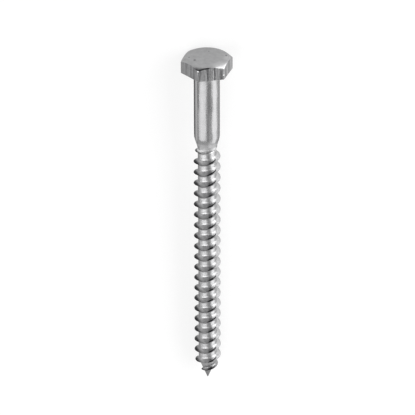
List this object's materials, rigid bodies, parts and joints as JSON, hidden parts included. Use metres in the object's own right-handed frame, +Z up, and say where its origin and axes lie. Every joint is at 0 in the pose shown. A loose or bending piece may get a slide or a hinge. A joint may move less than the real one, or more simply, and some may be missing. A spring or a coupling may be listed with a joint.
{
  "type": "lag screw",
  "caption": "Zinc-plated steel hex head lag screw, 10 mm by 130 mm, with a plain shank, a coarse wood thread and a gimlet point.",
  "frame": {"origin": "centre of the bounding box's bottom face, on the surface that the screw lies on", "axes": "+Z up, away from the surface; +Y lengthwise, from the point towards the head, 1.6 degrees off the screw's own axis; +X across"},
  "size_m": [0.0192, 0.1364, 0.0167],
  "materials": {
    "zinc_plated_steel": "bright zinc plate, satin, with faint drawing lines along the shank"
  },
  "bodies": {
    "root": {"lag_screw": "zinc_plated_steel"}
  },
  "joints": []
}
